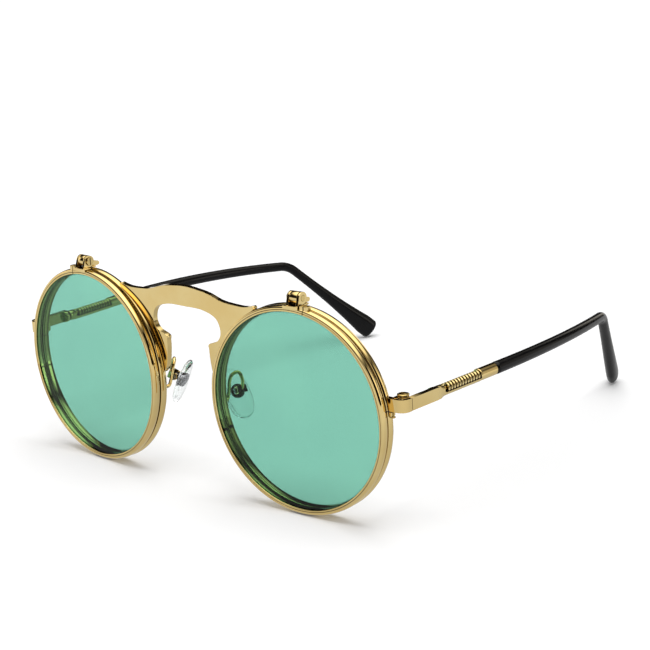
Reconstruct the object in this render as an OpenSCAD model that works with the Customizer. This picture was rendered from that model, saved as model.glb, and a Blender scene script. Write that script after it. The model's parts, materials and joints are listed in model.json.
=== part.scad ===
// Round flip up sunglasses: a wire-rimmed frame whose tinted front rims lift on hinges at the brow.
// +X is the wearer's left, +Y runs back along the temples, +Z is up.
// The rims and the ear tips stand on z = 0, under the middle of the outline.

/* [Lenses] */
// Diameter of each lens, bevel included
lens_d = 50; // [48:0.5:52]
// Thickness of each lens
lens_t = 1.2; // [1:0.1:1.4]
// Angle that each eye is turned back at its outer side
wrap_angle = 3.9; // [2:0.1:5]

/* [Rims] */
// How far the rim's lip covers the lens
rim_lip = 0.5; // [0.4:0.05:0.6]
// Radial thickness of the rims
rim_wall = 1.4; // [1.35:0.05:1.7]
// Front to back width of each rim
rim_w = 2; // [1.8:0.05:2.4]
// Gap between the flip rim and the rear rim
rim_gap = 0.3; // [0.2:0.05:0.5]
// Rounding of the rim's outer corners
rim_round = 0.35; // [0.2:0.05:0.5]
// Width of the slit that lets a rim open for its lens
rim_slit = 0.25; // [0.2:0.05:0.4]

/* [Bridge plate] */
// Distance between the rims across the nose
bridge_w = 20; // [19.2:0.1:23]
// Thickness of the plate between the rims
plate_t = 1.5; // [1.4:0.1:1.8]
// How far the plate's front lies behind the eye plane
plate_set_back = 1.4; // [1.3:0.1:1.6]
// Drop of the plate's crest below the tops of the rims
crest_drop = 0.1; // [-0.7:0.1:0.9]
// Height of the plate between its crest and the keyhole
crest_h = 5.2; // [4.2:0.1:5.8]
// Half width of the keyhole at its widest
keyhole_half = 11.8; // [11:0.1:12]
// Half width between the two tongues
tongue_half = 7.5; // [7:0.1:8]
// Height of the tongues' lower ends above the lens centres
tongue_end = 1.6; // [0.8:0.1:4]
// Radius of the round bead that ends each arm of the plate
bead_r = 0.5; // [0.4:0.05:0.7]

/* [Flip hinge] */
// Outer diameter of the flip hinge's barrel
flip_barrel_d = 3; // [2.8:0.1:3.2]
// Width of the barrel across both cheeks
flip_barrel_w = 3.6; // [3.4:0.1:4.2]
// Thickness of each cheek
cheek_t = 0.7; // [0.65:0.05:0.8]
// Gap between the barrel and the rims under it
flip_lift = 0.3; // [0.25:0.05:0.5]
// How far the hinge sits to the outer side of the lens centre
flip_offset = 1.3; // [1:0.1:2]
// Diameter of the flip hinge screw
flip_screw_d = 1.4; // [1.2:0.1:1.6]
// Diameter of the flip screw's head
flip_head_d = 2.1; // [1.9:0.1:2.4]
// Length of the tail behind the rear knuckle
tail_len = 1.8; // [1.4:0.1:2.2]

/* [Endpiece and temple hinge] */
// Height of the hinge above the lens centres
hinge_rise = 5.2; // [5:0.1:6]
// How far the temple's outer face lies outside the rim
endpiece_reach = 4.2; // [3.8:0.1:4.6]
// How far the parting line lies behind the eye plane
parting_y = 7.2; // [7:0.1:8]
// Height of the endpiece strip
endpiece_h = 3.1; // [2.9:0.1:3.4]
// Outer diameter of the hinge barrel
hinge_d = 2.7; // [2.5:0.1:2.9]
// Height of the temple's middle knuckle
knuckle_h = 1.5; // [1.3:0.1:1.7]
// Height of each outer knuckle
outer_knuckle_h = 0.85; // [0.8:0.05:1]
// Diameter of the hinge screw
hinge_screw_d = 1.2; // [1:0.1:1.4]
// Diameter of the hinge screw's head
hinge_head_d = 2.9; // [2.6:0.1:3]
// Height of the hinge screw's head
hinge_head_h = 0.4; // [0.3:0.05:0.6]
// Gap at the parting line when the temple is open
parting_gap = 0.25; // [0.25:0.05:0.35]

/* [Temples] */
// Length of the flat bar, from the parting line to the scoop
bar_len = 9.9; // [9:0.1:14]
// Thickness of the flat bar
bar_t = 1.4; // [1.2:0.1:1.5]
// Height of the bar
bar_h = 3; // [2.8:0.1:3.2]
// Downward slope of the temple
temple_slope = 0.6; // [0.4:0.1:2]
// Outward spread of the temple when it is open
temple_spread = 2.2; // [1:0.1:2.5]
// Outer diameter of the half pipe that cradles the spring
pipe_d = 3; // [2.9:0.1:3.2]
// Height of the pipe's axis below the spring's axis
pipe_drop = 0.1; // [0:0.05:0.15]
// Height of the cradle's rim below the spring's axis
cradle_drop = 0.5; // [0.3:0.1:0.7]
// Diameter of the core wire
core_d = 1.2; // [1:0.1:1.3]
// Length of the core wire inside the tip sleeve
core_reach = 14; // [10:1:18]
// Length of the scoop ahead of the spring
scoop_len = 2.6; // [2.2:0.1:3]
// Length of the coil spring
spring_len = 13; // [12.8:0.2:14]
// Outer diameter of the coil spring
spring_d = 2.6; // [2.4:0.1:2.6]
// Diameter of the spring wire
spring_wire_d = 0.6; // [0.5:0.02:0.62]
// Number of turns in the spring
spring_turns = 12; // [9:1:12]
// Length of the ferrule
ferrule_len = 6.3; // [6:0.1:7]
// Outer diameter of the ferrule
ferrule_d = 3.1; // [2.9:0.1:3.4]

/* [Ear tips] */
// Length of the tip sleeve ahead of the ear bend
tip_len = 59.8; // [56:0.2:64]
// Diameter of the tip sleeve at the ferrule
tip_d = 3.2; // [3:0.1:3.4]
// Diameter of the tip sleeve at the ear bend
tip_waist_d = 2.8; // [2.6:0.1:3.1]
// Angle that the sleeve bows inward over its length
tip_bow = 18.8; // [14:0.2:22]
// Droop of the sleeve over the same length
tip_droop = 4.8; // [2:0.1:5.5]
// Inner turn of the ear hook past the bow
hook_in = 9.5; // [6:0.5:12]
// Downward angle of the ear hook
hook_down = 43; // [40:0.5:48]
// Radius of the ear bend
hook_bend_r = 8.4; // [7:0.2:10]
// Width of the paddle at the hook's end
paddle_w = 6.4; // [6:0.1:7.2]
// Thickness of the paddle
paddle_t = 3.5; // [3:0.1:3.8]

/* [Nose pads] */
// Length of each nose pad
pad_len = 13; // [12:0.5:14]
// Width of each nose pad
pad_w = 7; // [6.5:0.1:7.5]
// Thickness of each nose pad
pad_t = 2.2; // [2:0.1:2.6]
// Outward lean of the pads at their lower ends
pad_splay = 24; // [20:1:28]
// Backward lean of the pads at their upper ends
pad_lean = 9; // [4:1:12]
// Outward turn of the pads at their rear edges
pad_turn = 27; // [22:1:32]
// Distance of the pad behind the rear rim
pad_back = 5.2; // [5:0.1:6]
// Diameter of the pad arm's wire
arm_d = 0.9; // [0.8:0.05:1]
// Radius of the box ears that hold the pad
ear_r = 0.95; // [0.9:0.05:1.1]
// Thickness of each box ear
ear_t = 0.6; // [0.5:0.05:0.7]
// Thickness of the pad core's lug
lug_t = 1.2; // [1:0.1:1.4]
// Diameter of the pad screw
pad_screw_d = 0.8; // [0.7:0.05:0.9]

/* [Fits] */
// Clearance between a lens and its groove
lens_clear = 0.06; // [0.04:0.01:0.1]
// Radial clearance of a screw in a hole that turns on it
running_clear = 0.05; // [0.03:0.01:0.08]
// Radial clearance of a screw in the piece that holds it
seat_clear = 0.02; // [0.01:0.01:0.04]
// Side clearance between hinge knuckles
side_clear = 0.06; // [0.04:0.01:0.1]
// Clearance between the pad and its core
pad_core_clear = 0.03; // [0.02:0.01:0.05]

/* [Hidden] */
$fn = 96;

// Rims, in the eye's frame: x to the outer side, y back, z up, origin at the lens centre
lens_r = lens_d / 2;
aperture_r = lens_r - rim_lip;
rim_r = aperture_r + rim_wall;
eye_spacing = bridge_w + 2 * rim_r;
rear_y = rim_w + rim_gap;
rear_back_y = rear_y + rim_w;
bevel_half = lens_t * 0.45;
bevel_flat = 0.08;
lip_w = 0.4;
line_w = 0.14;
line_depth = 0.16;

// Flip hinge
flip_axis_y = rim_w + rim_gap / 2;
flip_axis_z = rim_r + flip_lift + flip_barrel_d / 2;
flip_gap_w = flip_barrel_w - 2 * cheek_t;
flip_lap = 0.25;
flip_skirt = 0.6;
flip_air = 0.15;
foot_w = 0.8;
strip_air = 0.1;
flip_head_h = 0.45;
tail_r = 0.55;
lock_block_w = 2.3;
lock_block_h = 1.1;
lock_screw_r = 0.3;
lock_x = flip_offset + flip_barrel_w / 2 + 0.2 + lock_block_w / 2;

// Bridge plate, its heights above the lens centres
plate_rise = rim_r - crest_drop;
arch_rise = plate_rise - crest_h;

// Endpiece and temple hinge, in the frame of the whole part
bar_out_x = eye_spacing / 2 + rim_r * cos(wrap_angle) + endpiece_reach;
bar_in_x = bar_out_x - bar_t;
hinge_air = 0.1;
hinge_x = bar_in_x - hinge_air - hinge_d / 2;
hinge_y = parting_y + 0.4;
hinge_z = rim_r + hinge_rise;
strip_turn_r = 2.2;
hinge_top = knuckle_h / 2 + side_clear + outer_knuckle_h;
slit_z = hinge_rise - endpiece_h / 2 - rim_slit;
lug_h = 1.2;
lug_reach = 1.1;
rim_screw_r = 0.3;
rim_screw_x = rim_r + 0.5;
rim_screw_y = rear_y + 1;
rim_screw_up = 2;
rim_head_r = 0.5;
rim_head_h = 0.3;
slot_w = 0.28;
slot_depth = 0.25;

// Temple, in a frame at the hinge with its y along the slope
axis_x = bar_out_x - pipe_d / 2 - hinge_x;
bar_start = parting_gap - (hinge_y - parting_y);
bar_end = bar_start + bar_len;
scoop_end = bar_end + scoop_len;
spring_end = scoop_end + spring_len;
ferrule_end = spring_end + ferrule_len;
core_bore_r = core_d / 2 + seat_clear;
core_root = 1.5;
cradle_r = spring_d / 2 + running_clear;
spring_r = (spring_d - spring_wire_d) / 2;

// Ear tip: stations along the sleeve, walked in short straight steps
bow_steps = 10;
bend_steps = 6;
hook_steps = 8;
tip_steps = bow_steps + bend_steps + hook_steps;
tip_sides = 16;
bow_step = tip_len / bow_steps;
bow_pitch = temple_slope + tip_droop;
bend_step = hook_bend_r * (hook_down - bow_pitch) * PI / 180 / bend_steps;
tip_start = let (y = ferrule_end * cos(temple_slope))
    [axis_x * cos(temple_spread) + y * sin(temple_spread), y * cos(temple_spread) - axis_x * sin(temple_spread),
     -ferrule_end * sin(temple_slope)];
hook_trial = 32;
hook_len = hook_trial + (hinge_z + lowest(sleeve_rings(tip_path(hook_trial)))) / sin(hook_down);
tip_rings = sleeve_rings(tip_path(hook_len));

// Outline of the whole part along y, for the origin at its middle
front_y = -(rim_r - rim_round) * sin(wrap_angle);
back_y = hinge_y + max([for (ring = tip_rings, p = ring) p[1]]);
mid_y = (front_y + back_y) / 2;

// Nose pads, in the eye's frame
pad_centre = [-(rim_r - 0.3), rear_back_y + pad_back, -2.1];
pad_pivot_x = pad_t / 2 + ear_r + 0.3;
pad_pivot_z = 0.5;
core_plate_r = 1.8;
core_plate_t = 0.7;
core_plate_x = 0.1;
box_back_t = 0.7;
box_half = lug_t / 2 + side_clear + ear_t;
pad_head_r = 0.7;
pad_head_h = 0.35;
arm_root = [-(rim_r - 0.7), rear_back_y, -2.3];
box_back = pad_point([pad_pivot_x + ear_r + box_back_t / 2, 0, pad_pivot_z]);
arm_sides = 10;

// A point of the pad's own frame, in the eye's frame
function pad_point(p) = let (
    c = cos(pad_turn),
    s = sin(pad_turn),
    q = [p[0] * c + p[1] * s, p[1] * c - p[0] * s, p[2]],
    x = q[0] * cos(pad_splay) - q[2] * sin(pad_splay),
    z = q[0] * sin(pad_splay) + q[2] * cos(pad_splay))
    pad_centre + [x, q[1] * cos(pad_lean) + z * sin(pad_lean), z * cos(pad_lean) - q[1] * sin(pad_lean)];

// Sleeve heading and pitch after k steps, and the length of step k
function tip_turn(k) = k <= bow_steps ? tip_bow * k / bow_steps - temple_spread
    : tip_bow - temple_spread + hook_in * min(1, (k - bow_steps) / bend_steps);
function tip_pitch(k) = k <= bow_steps ? temple_slope + tip_droop * k / bow_steps
    : bow_pitch + (hook_down - bow_pitch) * min(1, (k - bow_steps) / bend_steps);
function tip_step(k, hook) = k < bow_steps ? bow_step : k < bow_steps + bend_steps ? bend_step : hook / hook_steps;
function heading(turn, pitch) = [-sin(turn) * cos(pitch), cos(turn) * cos(pitch), -sin(pitch)];
function walk(p, k, hook) = k == tip_steps ? [p]
    : concat([p], walk(p + tip_step(k, hook) * heading((tip_turn(k) + tip_turn(k + 1)) / 2,
                                                       (tip_pitch(k) + tip_pitch(k + 1)) / 2), k + 1, hook));
function tip_path(hook) = walk(tip_start, 0, hook);
function lowest(rings) = min([for (ring = rings, p = ring) p[2]]);

// One elliptical ring, its half widths a and b along the unit vectors u and v
function ring_at(c, u, v, a, b, sides) =
    [for (k = [0:sides - 1]) c + a * cos(360 * k / sides) * u + b * sin(360 * k / sides) * v];

// Share of the way from the ear bend to the hook's end, 0 before the bend ends
function hook_share(k) = max(0, (k - bow_steps - bend_steps) / hook_steps);
function ease(t) = t * t * (3 - 2 * t);
function sleeve_half_x(k) = k <= bow_steps ? (tip_d + (tip_waist_d - tip_d) * k / bow_steps) / 2
    : (tip_waist_d + (paddle_t - tip_waist_d) * ease(hook_share(k))) / 2;
function sleeve_half_z(k) = k <= bow_steps ? sleeve_half_x(k)
    : (tip_waist_d + (paddle_w - tip_waist_d) * pow(min(1, hook_share(k) / 0.87), 1.6)) / 2;
function sleeve_rings(path) = concat(
    [for (k = [0:tip_steps]) tip_ring(path[k], k, 1)],
    [for (e = [0.35, 0.65, 0.88])
        tip_ring(path[tip_steps] + e * paddle_t * 0.6 * heading(tip_turn(tip_steps), hook_down),
                 tip_steps, sqrt(1 - e * e))]);
function tip_ring(c, k, share) = let (
    u = [cos(tip_turn(k)), sin(tip_turn(k)), 0],
    v = cross(heading(tip_turn(k), tip_pitch(k)), u))
    ring_at(c, u, v, sleeve_half_x(k) * share, sleeve_half_z(k) * share, tip_sides);

// Points through which a smooth line passes, as a chain of short chords
function spline_point(a, b, c, d, t) = 0.5 * (2 * b + (c - a) * t + (2 * a - 5 * b + 4 * c - d) * t * t
    + (3 * b - a - 3 * c + d) * t * t * t);
function smooth_line(p, steps) = [for (i = [0:len(p) - 2], s = [0:steps - (i == len(p) - 2 ? 0 : 1)])
    spline_point(p[max(i - 1, 0)], p[i], p[i + 1], p[min(i + 2, len(p) - 1)], s / steps)];
function arc(c, r, from, to, steps) =
    [for (s = [0:steps]) c + r * [cos(from + (to - from) * s / steps), sin(from + (to - from) * s / steps)]];
function unit(v) = v / norm(v);

// Solid through a list of rings with equal counts of points
module skin(rings) {
    n = len(rings[0]);
    last = len(rings) - 1;
    polyhedron(
        points = [for (ring = rings) each ring],
        faces = concat(
            [for (k = [1:n - 2]) [0, k, k + 1]],
            [for (r = [0:last - 1], k = [0:n - 1]) [r * n + k, (r + 1) * n + k, (r + 1) * n + (k + 1) % n]],
            [for (r = [0:last - 1], k = [0:n - 1]) [r * n + k, (r + 1) * n + (k + 1) % n, r * n + (k + 1) % n]],
            [for (k = [1:n - 2]) [last * n, last * n + k + 1, last * n + k]]));
}

// Places
module left_side() { translate([0, -mid_y, 0]) children(); }
module right_side() { translate([0, -mid_y, 0]) mirror([1, 0, 0]) children(); }
module at_eye() { translate([eye_spacing / 2, 0, rim_r]) rotate([0, 0, wrap_angle]) children(); }
module at_hinge() { translate([hinge_x, hinge_y, hinge_z]) children(); }
module at_spread() { at_hinge() rotate([0, 0, -temple_spread]) children(); }
module at_temple_axis(y) { at_spread() rotate([-temple_slope, 0, 0]) translate([axis_x, y, 0]) children(); }
module at_pad() {
    at_eye() translate(pad_centre) rotate([-pad_lean, 0, 0]) rotate([0, -pad_splay, 0]) rotate([0, 0, -pad_turn])
        children();
}

// A cylinder that starts at the origin and runs along +y
module rod_y(r, h) { rotate([-90, 0, 0]) cylinder(r = r, h = h); }
// A cylinder along x, centred on the origin
module rod_x(r, h) { rotate([0, 90, 0]) cylinder(r = r, h = h, center = true); }
// A side profile in y and z, extruded over a width centred on x = 0
module across(w) { translate([-w / 2, 0, 0]) rotate([90, 0, 90]) linear_extrude(w) children(); }
// A revolved ring round the lens axis, from a profile of radius and y
module round_lens_axis() { rotate([-90, 0, 0]) rotate_extrude($fn = 180) children(); }

// Rims and lenses
module rim_profile(line) {
    mid = rim_w / 2;
    groove_r = lens_r + lens_clear;
    mouth = bevel_half + lens_clear;
    polygon(concat(
        line ? [[aperture_r + 0.08, 0], [aperture_r + lip_w, 0],
                [aperture_r + lip_w + line_w / 2, line_depth], [aperture_r + lip_w + line_w, 0]]
             : [[aperture_r + 0.08, 0]],
        arc([rim_r - rim_round, rim_round], rim_round, -90, 0, 5),
        arc([rim_r - rim_round, rim_w - rim_round], rim_round, 0, 90, 5),
        [[aperture_r + 0.08, rim_w], [aperture_r, rim_w - 0.08],
         [aperture_r, mid + mouth], [groove_r, mid + bevel_flat], [groove_r, mid - bevel_flat],
         [aperture_r, mid - mouth], [aperture_r, 0.08]]));
}

module lens_disc() {
    face_r = aperture_r - lens_clear;
    translate([0, rim_w / 2, 0]) round_lens_axis()
        polygon([[0, -lens_t / 2], [face_r, -lens_t / 2], [face_r, -bevel_half], [lens_r, -bevel_flat / 2],
                 [lens_r, bevel_flat / 2], [face_r, bevel_half], [face_r, lens_t / 2], [0, lens_t / 2]]);
}

module rear_rim() {
    color("gold") at_eye() difference() {
        union() {
            translate([0, rear_y, 0]) round_lens_axis() rim_profile(false);
            difference() {
                translate([rim_r - rim_wall / 2, rear_y + 0.1, slit_z - lug_h])
                    cube([rim_wall / 2 + lug_reach, rim_w - 0.2, lug_h]);
                translate([0, rear_y - 1, 0]) rod_y(rim_r - rim_round, rim_w + 2);
            }
        }
        translate([aperture_r - 1, rear_y - 1, slit_z]) cube([rim_wall + 3, rim_w + 2, rim_slit]);
        translate([rim_screw_x, rim_screw_y, slit_z - lug_h - 1])
            cylinder(r = rim_screw_r + seat_clear, h = lug_h + 2, $fn = 32);
    }
}

module clear_lens() {
    color([0.9, 0.96, 0.95, 0.35]) at_eye() translate([0, rear_y, 0]) lens_disc();
}

module rim_lock_screw() {
    color("goldenrod") at_eye() translate([rim_screw_x, rim_screw_y, slit_z - lug_h]) difference() {
        union() {
            cylinder(r = rim_screw_r, h = lug_h + rim_slit + rim_screw_up, $fn = 32);
            translate([0, 0, -rim_head_h]) cylinder(r = rim_head_r, h = rim_head_h, $fn = 32);
        }
        translate([-rim_head_r, -slot_w / 2, -rim_head_h - 1]) cube([2 * rim_head_r, slot_w, 1 + slot_depth]);
    }
}

module flip_rim() {
    block_z = sqrt(rim_r * rim_r - lock_x * lock_x);
    color("gold") at_eye() difference() {
        union() {
            round_lens_axis() rim_profile(true);
            difference() {
                translate([lock_x - lock_block_w / 2, 0.2, block_z - rim_wall])
                    cube([lock_block_w, rim_w - 0.4, rim_wall + lock_block_h - 0.3]);
                rod_y(rim_r - rim_round, rim_w);
            }
        }
        translate([lock_x - rim_slit / 2, -1, block_z - rim_wall - 1]) cube([rim_slit, rim_w + 2, rim_wall + 4]);
        translate([lock_x, rim_w / 2, block_z + lock_block_h / 3])
            rod_x(lock_screw_r + seat_clear, lock_block_w + 2, $fn = 24);
    }
}

module tinted_lens() {
    color([0.53, 0.8, 0.71, 0.85]) at_eye() lens_disc();
}

module flip_lock_screw() {
    block_z = sqrt(rim_r * rim_r - lock_x * lock_x);
    color("goldenrod") at_eye() translate([lock_x, rim_w / 2, block_z + lock_block_h / 3])
        rod_x(lock_screw_r, lock_block_w + 0.2, $fn = 24);
}

// Flip hinge
module hinge_bore(r) {
    translate([flip_offset, flip_axis_y, flip_axis_z]) rod_x(r, 2 * flip_barrel_w, $fn = 48);
}

module cheek_profile() {
    r = flip_barrel_d / 2;
    translate([flip_axis_y, flip_axis_z]) circle(r = r, $fn = 64);
    polygon([[-flip_lap, rim_r - flip_skirt], [rim_w - 0.15, rim_r - flip_skirt],
             [rim_w - 0.15, flip_axis_z - r * 0.9], [flip_axis_y, flip_axis_z - r],
             [flip_axis_y, flip_axis_z], [flip_axis_y - r * cos(35), flip_axis_z + r * sin(35)]]);
}

module flip_clevis() {
    cheek_x = (flip_barrel_w - cheek_t) / 2;
    strip_top = flip_axis_z - flip_barrel_d / 2 - strip_air;
    color("gold") at_eye() difference() {
        union() {
            for (s = [-1, 1]) translate([flip_offset + s * cheek_x, 0, 0]) across(cheek_t) cheek_profile();
            translate([flip_offset - flip_barrel_w / 2 - foot_w, -flip_lap, rim_r - flip_skirt])
                cube([flip_barrel_w + foot_w, flip_lap + rim_w - 0.15, strip_top - rim_r + flip_skirt]);
        }
        rod_y(rim_r, rim_w + 1);
        hinge_bore(flip_screw_d / 2 + seat_clear);
    }
}

module flip_knuckle() {
    r = flip_barrel_d / 2;
    knuckle_w = flip_gap_w - 2 * side_clear;
    seat_y = rear_y + 0.15;
    tail_z = rim_r + tail_r + 0.05;
    color("gold") at_eye() difference() {
        translate([flip_offset, 0, 0]) {
            across(knuckle_w) {
                translate([flip_axis_y, flip_axis_z]) circle(r = r, $fn = 64);
                polygon([[seat_y, rim_r - 1], [rear_back_y - 0.1, rim_r - 1],
                         [rear_back_y - 0.1, flip_axis_z - r * 0.4], [flip_axis_y + r * cos(40), flip_axis_z + r * sin(40)],
                         [flip_axis_y, flip_axis_z], [seat_y, flip_axis_z - r * 0.9]]);
            }
            across(knuckle_w * 0.7) {
                polygon([[rear_back_y - 0.3, tail_z - tail_r], [rear_back_y + tail_len - tail_r, tail_z - tail_r],
                         [rear_back_y + tail_len - tail_r, tail_z + tail_r], [rear_back_y - 0.3, tail_z + tail_r * 1.8]]);
                translate([rear_back_y + tail_len - tail_r, tail_z]) circle(r = tail_r, $fn = 32);
            }
            translate([-flip_barrel_w / 2, seat_y, rim_r - 1]) cube([flip_barrel_w, rim_w - 0.25, 1.25]);
        }
        translate([0, rear_y - 1, 0]) rod_y(rim_r, rim_w + 1.01);
        hinge_bore(flip_screw_d / 2 + running_clear);
    }
}

module flip_hinge_screw() {
    color("goldenrod") at_eye() translate([flip_offset, flip_axis_y, flip_axis_z]) difference() {
        union() {
            rod_x(flip_screw_d / 2, flip_barrel_w + 0.1, $fn = 48);
            translate([-(flip_barrel_w + flip_head_h) / 2 - 0.03, 0, 0]) rod_x(flip_head_d / 2, flip_head_h, $fn = 48);
        }
        translate([-flip_barrel_w / 2 - flip_head_h - 1, -slot_w / 2, -flip_head_d])
            cube([1 + slot_depth, slot_w, 2 * flip_head_d]);
    }
}

// Bridge plate
module plate_outline() {
    cx = eye_spacing / 2;
    bead = [cx - (rim_r + bead_r * 1.4) * sin(29), (rim_r + bead_r * 1.4) * cos(29)];
    top_edge = smooth_line([[-4, plate_rise - 0.3], [0, plate_rise], [4, plate_rise - 0.3], [8, plate_rise - 0.9],
                            [12, plate_rise - 2.1], [cx - rim_r + 5, bead[1] + 0.05], [bead[0] - 3.4, bead[1] - 0.1],
                            bead + bead_r * [cos(130), sin(130)]], 6);
    cusp = [tongue_half, arch_rise - 8.6];
    edge = smooth_line([[0, arch_rise], [5.8, arch_rise - 0.1], [keyhole_half - 1.4, arch_rise - 1.6],
                        [keyhole_half, arch_rise - 4.8], [keyhole_half - 1.2, arch_rise - 7.3],
                        cusp, [tongue_half - 0.1, arch_rise - 10], [tongue_half + 0.1, arch_rise - 13],
                        [tongue_half + 0.9, tongue_end + 2], [cx - rim_r + 0.2, tongue_end]], 6);
    half = concat([for (p = top_edge) if (p[0] > 0) p], arc(bead, bead_r, 110, -80, 12),
                  [[bead[0], bead[1] - 4], [cx - rim_r + 4, tongue_end]],
                  [for (k = [len(edge) - 1:-1:0]) if (edge[k][0] > 0) edge[k]]);
    polygon(concat(half, [for (k = [len(half) - 1:-1:0]) [-half[k][0], half[k][1]]]));
}

module bridge_plate() {
    color("gold") difference() {
        translate([0, plate_set_back + plate_t, rim_r]) rotate([90, 0, 0]) linear_extrude(plate_t)
            plate_outline();
        for (s = [0, 1]) mirror([s, 0, 0]) at_eye() translate([0, -5, 0]) {
            rod_y(rim_r, 20, $fn = 180);
            rod_y(rim_r + flip_air, 5 + rim_w + 0.1, $fn = 180);
        }
    }
}

// Endpiece with its two hinge knuckles
module strip_plan() {
    start_x = eye_spacing / 2 + rim_r - 3;
    front = rear_y + rim_r * sin(wrap_angle) + 0.1;
    turn = [bar_out_x - strip_turn_r, front + strip_turn_r];
    polygon(concat([[start_x, front + bar_t], [start_x, front]], arc(turn, strip_turn_r, -90, 0, 8),
                   [[bar_out_x, parting_y], [bar_in_x, parting_y]],
                   arc(turn, strip_turn_r - bar_t, 0, -90, 4)));
}

module endpiece() {
    half = hinge_top;
    block_x = hinge_x - hinge_d / 2 + 0.3;
    color("gold") difference() {
        union() {
            translate([0, 0, hinge_z - endpiece_h / 2]) linear_extrude(endpiece_h) strip_plan();
            translate([block_x, parting_y - 2.2, hinge_z - half])
                cube([bar_in_x + 0.3 - block_x, 2.2, 2 * half]);
            at_hinge() for (s = [0, 1]) mirror([0, 0, s])
                translate([0, 0, knuckle_h / 2 + side_clear]) cylinder(d = hinge_d, h = outer_knuckle_h, $fn = 64);
        }
        at_hinge() cylinder(d = hinge_d + 4 * side_clear, h = knuckle_h + 2 * side_clear, center = true, $fn = 64);
        at_hinge() cylinder(r = hinge_screw_d / 2 + seat_clear, h = 4 * half, center = true, $fn = 48);
        at_eye() translate([0, rear_y - 4, 0]) rod_y(rim_r, rim_w + 8, $fn = 180);
        at_eye() translate([rim_screw_x, rim_screw_y, slit_z])
            cylinder(r = rim_screw_r + seat_clear, h = rim_slit + rim_screw_up + 0.1, $fn = 32);
    }
}

module temple_hinge_screw() {
    color("goldenrod") at_hinge() difference() {
        union() {
            translate([0, 0, -hinge_top - 0.25]) cylinder(d = hinge_screw_d, h = 2 * hinge_top + 0.3, $fn = 48);
            translate([0, 0, hinge_top + 0.02]) {
                cylinder(d = hinge_head_d, h = hinge_head_h * 0.7, $fn = 64);
                cylinder(d1 = hinge_head_d, d2 = hinge_head_d * 0.8, h = hinge_head_h, $fn = 64);
            }
        }
        translate([-hinge_head_d, -slot_w / 2, hinge_top + 0.02 + hinge_head_h - slot_depth])
            cube([2 * hinge_head_d, slot_w, 1]);
    }
}

// Temple: hinge knuckle, flat bar and the half pipe that cradles the spring, in one piece
module bar_side() {
    drop = tan(temple_slope);
    rear = bar_end + 1;
    polygon([[bar_start, -bar_h / 2], [rear, -bar_h / 2 - rear * drop],
             [rear, bar_h / 2 - rear * drop], [bar_start, bar_h / 2]]);
}

module temple_bar() {
    color("gold") difference() {
        union() {
            at_spread() translate([bar_out_x - hinge_x - bar_t / 2, 0, 0]) across(bar_t) bar_side();
            at_hinge() cylinder(d = hinge_d, h = knuckle_h, center = true, $fn = 64);
            at_hinge() translate([0, 0.1, -knuckle_h / 2])
                cube([bar_in_x + 0.3 - hinge_x, hinge_d / 2 - 0.1, knuckle_h]);
            at_temple_axis(bar_end - core_root) translate([0, 0, -pipe_drop])
                rod_y(pipe_d / 2, core_root + scoop_len + spring_len - 0.05, $fn = 64);
        }
        at_hinge() cylinder(r = hinge_screw_d / 2 + running_clear, h = 2 * knuckle_h, center = true, $fn = 48);
        at_temple_axis(bar_end) rod_y(cradle_r, scoop_len + spring_len + 1, $fn = 64);
        at_temple_axis(bar_end - core_root + 0.3) rod_y(core_bore_r, 2 * core_root, $fn = 48);
        at_temple_axis(0) across(pipe_d + 1)
            polygon([[bar_end + 0.3, pipe_d], [bar_end + 0.3, bar_h / 2 - 0.5], [scoop_end - 0.4, -cradle_drop],
                     [spring_end + 1, -cradle_drop], [spring_end + 1, pipe_d]]);
    }
}

module temple_core() {
    color("gold") at_temple_axis(bar_end - core_root + 0.35)
        rod_y(core_d / 2, ferrule_end + core_reach - bar_end + core_root - 0.35, $fn = 48);
}

// Round bush in the scoop, which the front of the spring rests on
module spring_collar() {
    color("gold") at_temple_axis(bar_end + 0.1) difference() {
        rod_y(cradle_r - seat_clear, scoop_len - 0.6, $fn = 64);
        translate([0, -1, 0]) rod_y(core_bore_r, scoop_len + 2, $fn = 48);
    }
}

module spring_ferrule() {
    color("gold") at_temple_axis(spring_end) difference() {
        rotate([-90, 0, 0]) rotate_extrude() polygon([[0.3, 0], [ferrule_d / 2 - 0.15, 0], [ferrule_d / 2, 0.15],
            [ferrule_d / 2, ferrule_len - 0.25], [ferrule_d / 2 - 0.2, ferrule_len], [0.3, ferrule_len]]);
        translate([0, -1, 0]) rod_y(core_bore_r, ferrule_len + 2, $fn = 48);
    }
}

// Coil of one unbroken wire, its ends laid against the collar and the ferrule
spring_rings_turn = 8;
spring_sides = 6;
spring_start = spring_wire_d / 2 + 0.1;
spring_rise = spring_len - 2 * spring_start;
spring_line = [for (k = [0:spring_turns * spring_rings_turn])
    let (a = 360 * k / spring_rings_turn, y = spring_start + spring_rise * k / (spring_turns * spring_rings_turn))
    [spring_r * cos(a), y, spring_r * sin(a)]];
spring_gap = min([for (k = [0:len(spring_line) - 1 - spring_rings_turn],
                       j = [spring_rings_turn - 1:spring_rings_turn + 1])
    if (k + j < len(spring_line)) norm(spring_line[k + j] - spring_line[k])]) - spring_wire_d;
echo(spring_least_gap = spring_gap);

module temple_spring() {
    color("gold") at_temple_axis(scoop_end) skin([for (k = [0:len(spring_line) - 1])
        let (a = 360 * k / spring_rings_turn, u = [cos(a), 0, sin(a)])
        ring_at(spring_line[k], u, [0, 1, 0], spring_wire_d / 2, spring_wire_d / 2, spring_sides)]);
}

module tip_sleeve() {
    color([0.06, 0.06, 0.07]) difference() {
        at_hinge() skin(tip_rings);
        at_temple_axis(ferrule_end - 1) rod_y(core_bore_r, core_reach + 1.2, $fn = 32);
    }
}

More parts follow.
